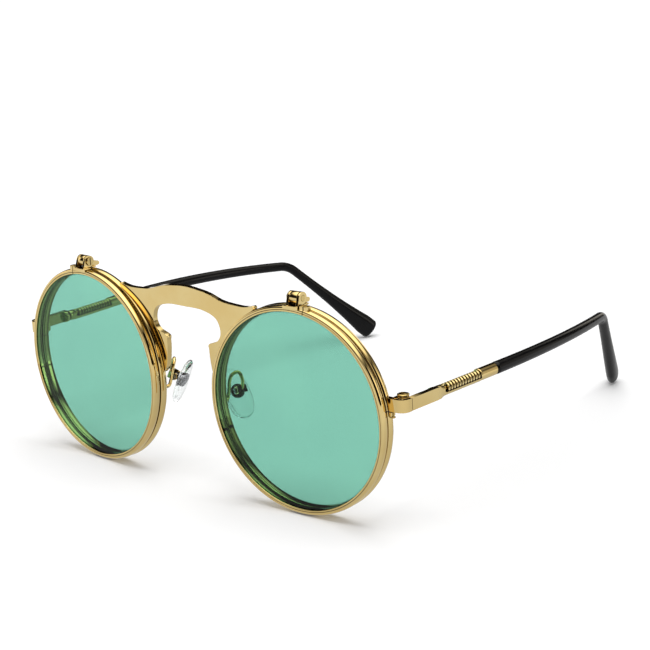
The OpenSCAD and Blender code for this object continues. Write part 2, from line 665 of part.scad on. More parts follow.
// Nose pads: local x away from the nose, y back, z along the pad
pad_stations = 12;
function pad_ring(t) = let (
    share = sqrt(1 - t * t),
    taper = 1 - 0.12 * t,
    w = pad_w / 2 * taper * pow(share, 0.8),
    d = pad_t / 2 * pow(share, 0.6))
    ring_at([0.25 * (1 - t * t) - 0.15, -0.5 * t, pad_len / 2 * t], [1, 0, 0], [0, 1, 0], d, w, 20);

module nose_pad() {
    color([0.85, 0.93, 0.92, 0.6]) at_pad() difference() {
        skin([for (k = [0:pad_stations]) pad_ring(-0.985 * cos(180 * k / pad_stations))]);
        translate([core_plate_x - pad_core_clear, 0, pad_pivot_z])
            rod_from_x(core_plate_r + pad_core_clear, pad_t);
    }
}

// A cylinder that starts at the origin and runs along +x
module rod_from_x(r, h) { rotate([0, 90, 0]) cylinder(r = r, h = h, $fn = 48); }

module pad_core() {
    color("silver") at_pad() translate([0, 0, pad_pivot_z]) difference() {
        union() {
            translate([core_plate_x, 0, 0]) rod_from_x(core_plate_r, core_plate_t);
            translate([core_plate_x + core_plate_t / 2, -lug_t / 2, -ear_r * 0.75])
                cube([pad_pivot_x - core_plate_x - core_plate_t / 2, lug_t, ear_r * 1.5]);
            translate([pad_pivot_x, -lug_t / 2, 0]) rod_y(ear_r * 0.75, lug_t, $fn = 48);
        }
        translate([pad_pivot_x, -lug_t, 0]) rod_y(pad_screw_d / 2 + seat_clear, 2 * lug_t, $fn = 32);
    }
}

module pad_screw() {
    color("silver") at_pad() translate([pad_pivot_x, -box_half, pad_pivot_z]) difference() {
        union() {
            rod_y(pad_screw_d / 2, 2 * box_half, $fn = 32);
            translate([0, -pad_head_h, 0]) rod_y(pad_head_r, pad_head_h, $fn = 32);
        }
        translate([-pad_head_r, -pad_head_h - 1, -slot_w / 2]) cube([2 * pad_head_r, 1 + slot_depth / 2, slot_w]);
    }
}

// Wire arm: brazed to the back of the rear rim, looped up and over to the pad's box
arm_points = [arm_root, arm_root + [0, 1, 0.1], arm_root + [-0.1, 1.8, 2], arm_root + [-0.2, 2.4, 4.3],
              arm_root + [0.1, 3.3, 5.8], box_back + [-1, 0.5, 4], box_back + [0.1, 0.4, 2], box_back];
arm_line = smooth_line(arm_points, 4);
function arm_heading(k) = k == 0 ? [0, 1, 0]
    : unit(arm_line[min(k + 1, len(arm_line) - 1)] - arm_line[k - 1]);

module pad_arm() {
    color("gold") {
        at_eye() skin([for (k = [0:len(arm_line) - 1]) let (
            d = arm_heading(k),
            u = unit([1, 0, 0] - d[0] * d))
            ring_at(arm_line[k], u, cross(d, u), arm_d / 2, arm_d / 2, arm_sides)]);
        at_pad() translate([pad_pivot_x, 0, pad_pivot_z]) difference() {
            union() {
                for (s = [-1, 1]) translate([0, s * (box_half - ear_t / 2) - ear_t / 2, 0]) {
                    rod_y(ear_r, ear_t, $fn = 48);
                    translate([0, 0, -ear_r]) cube([ear_r + box_back_t / 2, ear_t, 2 * ear_r]);
                }
                translate([ear_r, -box_half, -ear_r]) cube([box_back_t, 2 * box_half, 2 * ear_r]);
            }
            translate([0, -2 * box_half, 0]) rod_y(pad_screw_d / 2 + running_clear, 4 * box_half, $fn = 32);
        }
    }
}

// Frame
translate([0, -mid_y, 0]) bridge_plate();
left_side() rear_rim();  // rear_rim_left
right_side() rear_rim();  // rear_rim_right
left_side() clear_lens();  // clear_lens_left
right_side() clear_lens();  // clear_lens_right
left_side() flip_knuckle();  // flip_knuckle_left
right_side() flip_knuckle();  // flip_knuckle_right
left_side() endpiece();  // endpiece_left
right_side() endpiece();  // endpiece_right
left_side() rim_lock_screw();  // rim_lock_screw_left
right_side() rim_lock_screw();  // rim_lock_screw_right
left_side() temple_hinge_screw();  // temple_hinge_screw_left
right_side() temple_hinge_screw();  // temple_hinge_screw_right
left_side() pad_arm();  // pad_arm_left
right_side() pad_arm();  // pad_arm_right

// Flip fronts
left_side() flip_rim();  // flip_rim_left
right_side() flip_rim();  // flip_rim_right
left_side() tinted_lens();  // tinted_lens_left
right_side() tinted_lens();  // tinted_lens_right
left_side() flip_clevis();  // flip_clevis_left
right_side() flip_clevis();  // flip_clevis_right
left_side() flip_hinge_screw();  // flip_hinge_screw_left
right_side() flip_hinge_screw();  // flip_hinge_screw_right
left_side() flip_lock_screw();  // flip_lock_screw_left
right_side() flip_lock_screw();  // flip_lock_screw_right

// Temples
left_side() temple_bar();  // temple_bar_left
right_side() temple_bar();  // temple_bar_right
left_side() temple_core();  // temple_core_left
right_side() temple_core();  // temple_core_right
left_side() spring_collar();  // spring_collar_left
right_side() spring_collar();  // spring_collar_right
left_side() temple_spring();  // temple_spring_left
right_side() temple_spring();  // temple_spring_right
left_side() spring_ferrule();  // spring_ferrule_left
right_side() spring_ferrule();  // spring_ferrule_right
left_side() tip_sleeve();  // tip_sleeve_left
right_side() tip_sleeve();  // tip_sleeve_right

// Nose pads
left_side() nose_pad();  // nose_pad_left
right_side() nose_pad();  // nose_pad_right
left_side() pad_core();  // pad_core_left
right_side() pad_core();  // pad_core_right
left_side() pad_screw();  // pad_screw_left
right_side() pad_screw();  // pad_screw_right
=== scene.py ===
import json
import math

import bmesh
import bpy
import numpy as np
from mathutils import Matrix, Vector


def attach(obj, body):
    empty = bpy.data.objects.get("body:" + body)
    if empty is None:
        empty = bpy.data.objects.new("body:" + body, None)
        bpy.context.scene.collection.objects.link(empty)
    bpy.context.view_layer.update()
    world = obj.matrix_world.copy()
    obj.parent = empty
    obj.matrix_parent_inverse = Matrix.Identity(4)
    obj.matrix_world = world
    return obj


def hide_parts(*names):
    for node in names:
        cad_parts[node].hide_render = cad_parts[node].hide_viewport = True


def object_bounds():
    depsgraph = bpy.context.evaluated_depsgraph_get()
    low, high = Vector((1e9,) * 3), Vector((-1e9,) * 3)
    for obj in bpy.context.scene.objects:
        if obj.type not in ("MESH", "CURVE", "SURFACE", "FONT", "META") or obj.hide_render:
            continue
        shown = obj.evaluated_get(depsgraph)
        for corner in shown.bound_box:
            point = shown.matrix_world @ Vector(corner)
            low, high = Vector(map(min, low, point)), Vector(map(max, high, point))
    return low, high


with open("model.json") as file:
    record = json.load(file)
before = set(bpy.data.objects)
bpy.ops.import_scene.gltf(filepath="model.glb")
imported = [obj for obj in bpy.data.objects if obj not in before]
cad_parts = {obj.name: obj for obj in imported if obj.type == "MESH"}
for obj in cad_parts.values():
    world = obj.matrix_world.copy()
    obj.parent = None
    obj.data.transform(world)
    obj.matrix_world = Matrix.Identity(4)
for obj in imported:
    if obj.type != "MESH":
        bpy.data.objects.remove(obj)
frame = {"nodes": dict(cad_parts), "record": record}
lowStart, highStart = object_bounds()
nodes = frame["nodes"]
sides = ("left", "right")
mm = 0.001  # sizes below are in millimetres, Blender works in metres
print("frame loaded,", len(nodes), "nodes")


# sRGB hex to a linear colour with alpha 1
def linear(code):
    parts = [int(code[i:i + 2], 16) / 255 for i in (1, 3, 5)]
    return tuple(c / 12.92 if c <= 0.04045 else ((c + 0.055) / 1.055) ** 2.4 for c in parts) + (1.0,)


def newMaterial(name):
    mat = bpy.data.materials.new(name)
    mat.use_nodes = True
    mat.node_tree.nodes.clear()
    return mat, mat.node_tree


# one node with its settings and links: inputs by name or in order, an output is linked and anything else is set
def addNode(tree, kind, inputs=(), **settings):
    node = tree.nodes.new(kind)
    for name, value in settings.items():
        setattr(node, name, value)
    for key, value in inputs.items() if isinstance(inputs, dict) else enumerate(inputs):
        if isinstance(value, bpy.types.NodeSocket):
            tree.links.new(value, node.inputs[key])
        else:
            node.inputs[key].default_value = value
    return node


blotSpan = (0.35, 0.65)  # where nearly all of the noise lies


# soft blots sizeMm across on Object coordinates, as they are or carried to a span of values
def blots(tree, sizeMm, detail=3.0, ends=None):
    coords = addNode(tree, "ShaderNodeTexCoord")
    noise = addNode(tree, "ShaderNodeTexNoise", {"Vector": coords.outputs["Object"], "Scale": 1 / (sizeMm * mm),
                                                 "Detail": detail})
    if ends is None:
        return noise.outputs["Fac"]
    return addNode(tree, "ShaderNodeMapRange", (noise.outputs["Fac"], *blotSpan, *ends)).outputs["Result"]


# colour that drifts between two tones over blots sizeMm across
def twoTone(tree, sizeMm, first, second, detail=3.0):
    drift = blots(tree, sizeMm, detail, (0, 1))
    return addNode(tree, "ShaderNodeMix", {"Factor": drift, "A": linear(first), "B": linear(second)},
                   data_type="RGBA").outputs["Result"]


# painted shade: colour darkened towards a tone where walls stand closer than reachMm, as if shade fell there
def paintedShade(tree, colour, tone, reachMm, span):
    corner = addNode(tree, "ShaderNodeAmbientOcclusion", {"Distance": reachMm * mm}, samples=6)
    openness = addNode(tree, "ShaderNodeMapRange", (corner.outputs["AO"], *span, 0, 1))
    return addNode(tree, "ShaderNodeMix", {"Factor": openness.outputs["Result"], "A": linear(tone), "B": colour},
                   data_type="RGBA").outputs["Result"]


# gold plating on drawn wire and stamped plate, polished: a warm mirror with faint waves, soft smudges and painted
# shade as dark lines where pieces meet; real smudges and polishing waves are finer, these are as coarse as they
# need to show
metalValues = {
    "polished_gold": {"name": "polishedGoldPlate", "deep": "#e5c987", "pale": "#ead294", "rough": (0.03, 0.06),
                      "waveDepthMm": 0.0015},
    # turned on a lathe and plated: duller than the plate, with a stronger wave
    "gold_screw": {"name": "turnedGoldPlate", "deep": "#d6ba74", "pale": "#e2cb8c", "rough": (0.1, 0.18),
                   "waveDepthMm": 0.006},
    # wound from drawn wire: a little softer in the shine, so that each turn carries a broad light line
    "spring_gold": {"name": "drawnGoldWire", "deep": "#e6cb86", "pale": "#efdba2", "rough": (0.05, 0.1),
                    "waveDepthMm": 0.003},
    # pressed steel inside the pad: grey and satin
    "pad_metal": {"name": "pressedSteel", "deep": "#77787a", "pale": "#97989a", "rough": (0.2, 0.32),
                  "waveDepthMm": 0.01}}
# the crevice values give the painted shade its reach, tone and span
metalPattern = {"driftMm": 9.0, "smudgeMm": 1.6, "smudgeDetail": 5.0, "waveMm": 3.2, "waveDetail": 2.0,
                "waveStrength": 0.35, "creviceShadeMm": 0.7, "creviceShadeTone": "#2a1c0c", "creviceShadeSpan": (0.25, 0.8)}


def polishedMetal(v, p=metalPattern):
    mat, tree = newMaterial(v["name"])
    # the base colour carries painted shade where pieces stand close
    colour = paintedShade(tree, twoTone(tree, p["driftMm"], v["deep"], v["pale"]), p["creviceShadeTone"], p["creviceShadeMm"],
                    p["creviceShadeSpan"])
    wave = addNode(tree, "ShaderNodeBump", {"Height": blots(tree, p["waveMm"], p["waveDetail"]),
                                            "Strength": p["waveStrength"], "Distance": v["waveDepthMm"] * mm})
    shader = addNode(tree, "ShaderNodeBsdfPrincipled", {
        "Metallic": 1.0, "Base Color": colour, "Normal": wave.outputs["Normal"],
        "Roughness": blots(tree, p["smudgeMm"], p["smudgeDetail"], v["rough"])})
    addNode(tree, "ShaderNodeOutputMaterial", {"Surface": shader.outputs["BSDF"]})
    return mat


# moulded lens plastic: tinted and clear right through, with a mirror that grows at a glancing look, and painted
# shade at its edge where it sits in its groove
lensValues = {
    "green_lens": {"name": "mouldedGreenLens", "tint": "#bbe3d7", "otherTint": "#b8e0d5", "edgeShadeTone": "#3f6b58"},
    "clear_lens": {"name": "mouldedClearLens", "tint": "#f8fbfa", "otherTint": "#fafcfb", "edgeShadeTone": "#c9d2ce"}}
# the edge values give the painted shade at the lens edge its reach and span
lensPattern = {"shine": 0.6, "ior": 1.5, "roughness": 0.02, "driftMm": 30.0, "driftDetail": 1.0, "edgeMm": 0.7,
               "edgeShadeSpan": (0.5, 0.85), "shadowTone": 0.9}


def lensGlass(v, p=lensPattern):
    mat, tree = newMaterial(v["name"])
    face = addNode(tree, "ShaderNodeNewGeometry")
    outer = addNode(tree, "ShaderNodeMath", (p["shine"], face.outputs["Backfacing"]), operation="SUBTRACT",
                    use_clamp=True)  # no shine where light leaves the lens
    fresnel = addNode(tree, "ShaderNodeFresnel", {"IOR": p["ior"]})
    share = addNode(tree, "ShaderNodeMath", (fresnel.outputs["Fac"], outer.outputs["Value"]), operation="MULTIPLY")
    tint = twoTone(tree, p["driftMm"], v["tint"], v["otherTint"], p["driftDetail"])
    # painted shade: the tint darkens towards the edge tone where the groove walls stand close
    colour = paintedShade(tree, tint, v["edgeShadeTone"], p["edgeMm"], p["edgeShadeSpan"])  # darker where it meets its groove
    paths = addNode(tree, "ShaderNodeLightPath")
    offCamera = addNode(tree, "ShaderNodeMath", (paths.outputs["Is Shadow Ray"], paths.outputs["Is Diffuse Ray"]),
                        operation="MAXIMUM")
    passed = addNode(tree, "ShaderNodeMix", {"Factor": offCamera.outputs["Value"], "A": colour,
                                             "B": (p["shadowTone"],) * 3 + (1,)}, data_type="RGBA")  # grey shadow
    clear = addNode(tree, "ShaderNodeBsdfTransparent", {"Color": passed.outputs["Result"]})
    gloss = addNode(tree, "ShaderNodeBsdfGlossy", {"Roughness": p["roughness"]})
    both = addNode(tree, "ShaderNodeMixShader", (share.outputs["Value"], clear.outputs["BSDF"],
                                                 gloss.outputs["BSDF"]))
    addNode(tree, "ShaderNodeOutputMaterial", {"Surface": both.outputs["Shader"]})
    return mat


# black acetate, moulded and buffed: nearly black, its gloss broken by handling marks drawn coarse enough to show
acetateValues = {"name": "buffedBlackAcetate", "deep": "#050506", "pale": "#0a0a0b", "ior": 1.3, "driftMm": 14.0,
                 "smudgeMm": 2.4, "smudgeDetail": 4.0, "rough": (0.16, 0.26), "bumpStrength": 0.15, "bumpMm": 0.02}
# clear silicone, moulded: see-through with a satin skin
siliconeValues = {"name": "mouldedSilicone", "deep": "#f6faf9", "pale": "#fdfefe", "ior": 1.41, "driftMm": 5.0,
                  "smudgeMm": 1.2, "smudgeDetail": 4.0, "rough": (0.03, 0.1), "bumpStrength": 0.2, "bumpMm": 0.02}


def mouldedPlastic(v, transmission):
    mat, tree = newMaterial(v["name"])
    skin = addNode(tree, "ShaderNodeBump", {"Height": blots(tree, v["smudgeMm"], v["smudgeDetail"]),
                                            "Strength": v["bumpStrength"], "Distance": v["bumpMm"] * mm})
    shader = addNode(tree, "ShaderNodeBsdfPrincipled", {
        "IOR": v["ior"], "Transmission Weight": transmission, "Normal": skin.outputs["Normal"],
        "Base Color": twoTone(tree, v["driftMm"], v["deep"], v["pale"]),
        "Roughness": blots(tree, v["smudgeMm"], v["smudgeDetail"], v["rough"])})
    addNode(tree, "ShaderNodeOutputMaterial", {"Surface": shader.outputs["BSDF"]})
    return mat


materials = {slot: polishedMetal(v) for slot, v in metalValues.items()}
materials.update({slot: lensGlass(v) for slot, v in lensValues.items()})
materials["black_acetate"] = mouldedPlastic(acetateValues, 0.0)
materials["clear_silicone"] = mouldedPlastic(siliconeValues, 1.0)
slotOf = {s["node"]: s["material_slot"] for s in frame["record"]["subparts"]}
bodyOf = {n: body for body, names in frame["record"]["behaviour"]["bodies"].items() for n in names}
print("materials made")


# gives a piece the material of its node's slot and its node's body, and hides the node it stands in for
def finishPiece(obj, node):
    obj.data.materials.clear()
    obj.data.materials.append(materials[slotOf[node]])
    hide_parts(node)
    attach(obj, bodyOf[node])
    return obj


def newObject(name, mesh):
    obj = bpy.data.objects.new(name, mesh)
    bpy.context.scene.collection.objects.link(obj)
    return obj


def bakeModifiers(obj):
    depsgraph = bpy.context.evaluated_depsgraph_get()
    mesh = bpy.data.meshes.new_from_object(obj.evaluated_get(depsgraph))
    obj.modifiers.clear()
    obj.data = mesh


def shadeSmooth(mesh, sharpAngle=None):
    for poly in mesh.polygons:
        poly.use_smooth = True
    if sharpAngle:
        mesh.set_sharp_from_angle(angle=math.radians(sharpAngle))


def mirrorX(obj):
    obj.data.transform(Matrix.Scale(-1, 4, (1, 0, 0)))
    obj.data.flip_normals()


# a CAD node's vertices in metres
def nodePoints(node):
    data = np.empty(len(nodes[node].data.vertices) * 3)
    nodes[node].data.vertices.foreach_get("co", data)
    return data.reshape(-1, 3)


# machined and stamped pieces: a merged copy of the CAD node with its sharp edges broken
edgeRadiiMm = {
    "bridge_plate": 0.1, "endpiece": 0.12, "flip_clevis": 0.1, "flip_knuckle": 0.1, "spring_ferrule": 0.08,
    "spring_collar": 0.05, "temple_core": 0.0, "flip_hinge_screw": 0.05, "flip_lock_screw": 0.03,
    "rim_lock_screw": 0.03, "temple_hinge_screw": 0.05, "pad_arm": 0.04, "pad_core": 0.05, "pad_screw": 0.03}
edgeValues = {"mergeMm": 0.002, "flatAngle": 0.4, "bevelAngle": 35, "segments": 2, "sharpAngle": 38,
              "flatWeight": 90}


def refined(node, radiusMm, v=edgeValues):
    bm = bmesh.new()
    bm.from_mesh(nodes[node.replace("_right", "_left")].data)
    if node.endswith("_right"):  # the right side is the left one mirrored
        bmesh.ops.scale(bm, vec=(-1, 1, 1), verts=bm.verts)
        bmesh.ops.reverse_faces(bm, faces=bm.faces)
    bmesh.ops.remove_doubles(bm, verts=bm.verts, dist=v["mergeMm"] * mm)
    bmesh.ops.dissolve_limit(bm, angle_limit=math.radians(v["flatAngle"]), verts=bm.verts, edges=bm.edges)
    mesh = bpy.data.meshes.new(node + "Fine")
    bm.to_mesh(mesh)
    bm.free()
    obj = newObject(node + "Fine", mesh)
    if radiusMm:
        bevel = obj.modifiers.new("edges", "BEVEL")
        bevel.width = radiusMm * mm
        bevel.segments = v["segments"]
        bevel.limit_method = "ANGLE"
        bevel.angle_limit = math.radians(v["bevelAngle"])
    bakeModifiers(obj)
    shadeSmooth(obj.data, v["sharpAngle"])
    flat = obj.modifiers.new("flatFaces", "WEIGHTED_NORMAL")  # keeps big faces flat in the shine
    flat.weight = v["flatWeight"]
    flat.keep_sharp = True
    bakeModifiers(obj)
    return finishPiece(obj, node)


for node in sorted(nodes):
    kind = node.rsplit("_", 1)[0] if node.endswith(sides) else node
    if kind in edgeRadiiMm:
        refined(node, edgeRadiiMm[kind])
print("metal pieces refined")

# rims: a crowned wire profile turned about each lens axis, open at its slit, with its closing block
rimValues = {"apertureRadiusMm": 24.5, "outerRadiusMm": 25.9, "widthMm": 2.0, "crownMm": 0.12,
             "innerRoundMm": 0.14, "outerRoundMm": 0.5, "lineAtMm": 0.47, "lineHalfMm": 0.08, "lineDepthMm": 0.18,
             "slitMm": 0.25, "segments": 300, "eyeSpacingMm": 71.8, "wrap": 3.9, "rearRimMm": 2.3,
             "cadRoundMm": 0.35, "innerSteps": 4, "shoulderSteps": 7, "shoulderAngle": 18, "crownSteps": 10,
             "sharpAngle": 50}
flipBlock = {"centreMm": (4.45, 1.0, 25.45), "sizeMm": (2.3, 1.6, 1.7), "bevelMm": 0.14}
rearLug = {"centreMm": (25.95, 3.3, 2.85), "sizeMm": (0.9, 1.7, 1.1), "bevelMm": 0.14}


# from the left eye's own frame (lens axis along Y, origin at the front of the flip rim) to the part
def eyePlace(v=rimValues):
    lead = (v["outerRadiusMm"] - v["cadRoundMm"]) * mm * math.sin(math.radians(v["wrap"]))
    frontY = nodePoints("flip_rim_left")[:, 1].min() + lead  # the nasal edge stands ahead of the lens centre
    eye = Vector((v["eyeSpacingMm"] / 2 * mm, frontY, v["outerRadiusMm"] * mm))
    return Matrix.Translation(eye) @ Matrix.Rotation(math.radians(v["wrap"]), 4, "Z")


def arcPoints(centre, radius, start, end, steps):
    angles = [math.radians(start + (end - start) * k / steps) for k in range(steps + 1)]
    return [(centre[0] + radius * math.cos(a), centre[1] + radius * math.sin(a)) for a in angles]


# closed outline of radius and depth in mm, front face at depth 0; a flip rim has a fine line cut into its front
def rimProfile(line, v=rimValues):
    inner, outer, width = v["apertureRadiusMm"], v["outerRadiusMm"], v["widthMm"]
    small, big, edge = v["innerRoundMm"], v["outerRoundMm"], v["outerRadiusMm"] - v["crownMm"]
    bow, steps = v["shoulderAngle"], v["shoulderSteps"]
    points = arcPoints((inner + small, small), small, 180, 270, v["innerSteps"])
    if line:
        at, half, deep = inner + v["lineAtMm"], v["lineHalfMm"], v["lineDepthMm"]
        for across, down in ((-1, 0), (-0.6, 0.3), (0, 1), (0.6, 0.3), (1, 0)):
            points.append((at + across * half, down * deep))
    points += arcPoints((edge - big, big), big, -90, -bow, steps)
    for k in range(1, v["crownSteps"]):
        y = -1 + 2 * k / v["crownSteps"]
        points.append((outer - v["crownMm"] * y * y, width / 2 + y * (width / 2 - big)))
    points += arcPoints((edge - big, width - big), big, bow, 90, steps)
    return points + arcPoints((inner + small, width - small), small, 90, 180, v["innerSteps"])


# profile turned about Y, open by the slit at slitAngle, both cut faces closed
def turnedRim(bm, profile, depthMm, slitAngle, v=rimValues):
    halfSlit = v["slitMm"] / 2 / v["outerRadiusMm"]
    rings = []
    for k in range(v["segments"] + 1):
        a = slitAngle + halfSlit + (2 * math.pi - 2 * halfSlit) * k / v["segments"]
        rings.append([bm.verts.new(Vector((r * math.cos(a), y + depthMm, r * math.sin(a))) * mm)
                      for r, y in profile])
    for first, second in zip(rings, rings[1:]):
        for k in range(len(profile)):
            j = (k + 1) % len(profile)
            bm.faces.new((first[k], first[j], second[j], second[k]))
    bm.faces.new(rings[0][::-1])
    bm.faces.new(rings[-1])


# box with rounded edges, in the eye's frame
def softBox(bm, centreMm, sizeMm, bevelMm, segments=3, profile=0.6):
    made = bmesh.ops.create_cube(bm, size=1.0)
    for vert in made["verts"]:
        vert.co = Vector([(c * s + m) * mm for c, s, m in zip(vert.co, sizeMm, centreMm)])
    edges = {e for vert in made["verts"] for e in vert.link_edges}
    bmesh.ops.bevel(bm, geom=list(edges), offset=bevelMm * mm, segments=segments, profile=profile,
                    affect="EDGES")


# closing block in two halves side by side, the slit between them
def splitBlock(bm, block, slitMm):
    centre, size = list(block["centreMm"]), list(block["sizeMm"])
    size[0] = (size[0] - slitMm) / 2
    for sign in (-1, 1):
        softBox(bm, (centre[0] + sign * (size[0] + slitMm) / 2, *centre[1:]), size, block["bevelMm"])


def rimPiece(kind, side, v=rimValues):
    bm = bmesh.new()
    if kind == "flip_rim":
        turnedRim(bm, rimProfile(True), 0.0, math.atan2(flipBlock["centreMm"][2], flipBlock["centreMm"][0]))
        splitBlock(bm, flipBlock, v["slitMm"])
    else:
        slitZ = rearLug["centreMm"][2] + (rearLug["sizeMm"][2] + v["slitMm"]) / 2
        turnedRim(bm, rimProfile(False), v["rearRimMm"], math.asin(slitZ / v["outerRadiusMm"]))
        softBox(bm, **rearLug)
    bmesh.ops.recalc_face_normals(bm, faces=bm.faces)
    mesh = bpy.data.meshes.new(kind)
    bm.to_mesh(mesh)
    bm.free()
    shadeSmooth(mesh, v["sharpAngle"])
    mesh.transform(eyePlace())
    obj = newObject(kind + "Turned" + side.capitalize(), mesh)
    if side == "right":
        mirrorX(obj)
    finishPiece(obj, kind + "_" + side)


for side in sides:
    for kind in ("flip_rim", "rear_rim"):
        rimPiece(kind, side)
print("rims turned")

# lenses: the CAD discs with smooth faces
for node in sorted(nodes):
    if "lens" in node:
        refined(node, 0.0)
print("lenses finished")


# smooth tube through rings of equal count, closed at both ends
def loft(name, rings):
    count = len(rings[0])
    verts = [tuple(point) for ring in rings for point in ring]
    faces = [tuple(range(count))[::-1], tuple(range((len(rings) - 1) * count, len(rings) * count))]
    for r in range(len(rings) - 1):
        for k in range(count):
            nextK = (k + 1) % count
            faces.append((r * count + k, r * count + nextK, (r + 1) * count + nextK, (r + 1) * count + k))
    mesh = bpy.data.meshes.new(name)
    mesh.from_pydata(verts, [], faces)
    bm = bmesh.new()
    bm.from_mesh(mesh)
    bmesh.ops.recalc_face_normals(bm, faces=bm.faces)
    bm.to_mesh(mesh)
    bm.free()
    shadeSmooth(mesh)
    return newObject(name, mesh)


# front end and direction of a temple's core wire, from the points that lie within endMm of its CAD node's ends
def wireAxis(side, endMm=0.3):
    core = nodePoints("temple_core_" + side)
    ends = [core[np.abs(core[:, 1] - y) < endMm * mm] for y in (core[:, 1].min(), core[:, 1].max())]
    first, last = [Vector((e.max(0) + e.min(0)) / 2) for e in ends]
    return first, (last - first).normalized()


# how far along the wire a CAD node starts or ends
def reach(node, first, along, pick):
    return pick((Vector(p) - first).dot(along) for p in nodePoints(node))


# ear tips: a sleeve that bows inward, droops, hooks down behind the ear and flares into a paddle
tipValues = {"lengthMm": 59.8, "bow": 18.8, "droop": 4.8, "hookIn": 9.5, "hookDown": 43.0, "bendRadiusMm": 8.4,
             "frontMm": 3.2, "waistMm": 2.8, "paddleThickMm": 3.5, "paddleWideMm": 6.3, "flareShare": 0.92,
             "flarePower": 2.2, "endDepth": 0.45, "endPower": 2.8, "endShare": 1 / 1.05, "skinShare": 0.99,
             "frontShares": (0.9, 0.97), "frontEdgeMm": 0.05, "trialHookMm": 30.0, "sidesRound": 44,
             "bowSteps": 50, "bendSteps": 24, "hookSteps": 48, "endSteps": 8}


# turn and pitch of the wire's direction, in degrees
def heading(turn, pitch):
    a, b = math.radians(turn), math.radians(pitch)
    return Vector((-math.sin(a) * math.cos(b), math.cos(a) * math.cos(b), -math.sin(b)))


# turn, pitch and half widths at share t of the bow, the bend or the hook
def tipStation(part, t, turn0, pitch0, v=tipValues):
    front, waist = v["frontMm"] / 2, v["waistMm"] / 2
    if part == "bow":
        half = front + (waist - front) * t
        return turn0 + v["bow"] * t, pitch0 + v["droop"] * t, half, half
    if part == "bend":
        pitch = pitch0 + v["droop"] + (v["hookDown"] - pitch0 - v["droop"]) * t
        return turn0 + v["bow"] + v["hookIn"] * t, pitch, waist, waist
    ease = t * t * (3 - 2 * t)
    flare = min(1, t / v["flareShare"]) ** v["flarePower"]
    return (turn0 + v["bow"] + v["hookIn"], v["hookDown"], waist + (v["paddleThickMm"] / 2 - waist) * ease,
            waist + (v["paddleWideMm"] / 2 - waist) * flare)


def tipRing(centre, turn, pitch, halfX, halfZ, share, v=tipValues):
    u = Vector((math.cos(math.radians(turn)), math.sin(math.radians(turn)), 0))
    w = heading(turn, pitch).cross(u)
    angles = [2 * math.pi * k / v["sidesRound"] for k in range(v["sidesRound"])]
    return [centre + (math.cos(a) * halfX * u + math.sin(a) * halfZ * w) * share * v["skinShare"] * mm
            for a in angles]


def tipWalk(start, along, hookLength, v=tipValues):
    turn0, pitch0 = math.degrees(math.atan2(-along.x, along.y)), math.degrees(math.asin(-along.z))
    front = v["frontMm"] / 2
    bendLength = v["bendRadiusMm"] * mm * math.radians(v["hookDown"] - pitch0 - v["droop"])
    rings = [tipRing(start + along * v["frontEdgeMm"] * k * mm, turn0, pitch0, front, front, share)
             for k, share in enumerate(v["frontShares"])]
    centre = start.copy()
    for part, length, steps in (("bow", v["lengthMm"] * mm, v["bowSteps"]), ("bend", bendLength, v["bendSteps"]),
                                ("hook", hookLength, v["hookSteps"])):
        for k in range(steps):
            turn, pitch = tipStation(part, (k + 0.5) / steps, turn0, pitch0)[:2]
            centre = centre + heading(turn, pitch) * length / steps
            rings.append(tipRing(centre, *tipStation(part, (k + 1) / steps, turn0, pitch0), 1.0))
    last = tipStation("hook", 1, turn0, pitch0)
    for k in range(1, v["endSteps"] + 1):  # blunt rounded end
        e = math.sin(math.pi / 2 * k / v["endSteps"] * v["endShare"])
        rings.append(tipRing(centre + heading(last[0], last[1]) * e * v["endDepth"] * v["paddleThickMm"] * mm,
                             *last, (1 - e ** v["endPower"]) ** (1 / v["endPower"])))
    return rings


# the hook is made just long enough for the paddle to stand where the CAD sleeve stands
def tipRings(first, along, v=tipValues):
    start = first + along * reach("spring_ferrule_left", first, along, max)
    trial = v["trialHookMm"] * mm
    low = min(p.z for ring in tipWalk(start, along, trial) for p in ring)
    floorZ = nodePoints("tip_sleeve_left")[:, 2].min()
    return tipWalk(start, along, trial + (low - floorZ) / math.sin(math.radians(v["hookDown"])))


leftFirst, leftAlong = wireAxis("left")
for side in sides:
    obj = loft("tipSleeve" + side.capitalize(), tipRings(leftFirst, leftAlong))
    if side == "right":
        mirrorX(obj)
    finishPiece(obj, "tip_sleeve_" + side)
print("ear tips lofted")

# nose pads: soft teardrops, leaned and turned as the wearer's nose asks
padValues = {"lengthMm": 13.0, "widthMm": 7.0, "thickMm": 2.2, "splay": 24.0, "lean": 9.0, "turn": 27.0,
             "centreMm": (-25.6, 9.5, -2.1), "dishMm": 0.25, "backMm": 0.15, "slopeMm": 0.5, "taper": 0.12,
             "thickPower": 0.6, "widePower": 0.8, "endShare": 0.995, "stations": 30, "sidesRound": 40}


def padRings(v=padValues):
    rings = []
    for k in range(v["stations"] + 1):
        t = -v["endShare"] * math.cos(math.pi * k / v["stations"])
        share = math.sqrt(1 - t * t)
        halfX = v["thickMm"] / 2 * share ** v["thickPower"]
        halfY = v["widthMm"] / 2 * (1 - v["taper"] * t) * share ** v["widePower"]
        centre = Vector((v["dishMm"] * (1 - t * t) - v["backMm"], -v["slopeMm"] * t, v["lengthMm"] / 2 * t))
        angles = [2 * math.pi * j / v["sidesRound"] for j in range(v["sidesRound"])]
        rings.append([(centre + Vector((math.cos(a) * halfX, math.sin(a) * halfY, 0))) * mm for a in angles])
    return rings


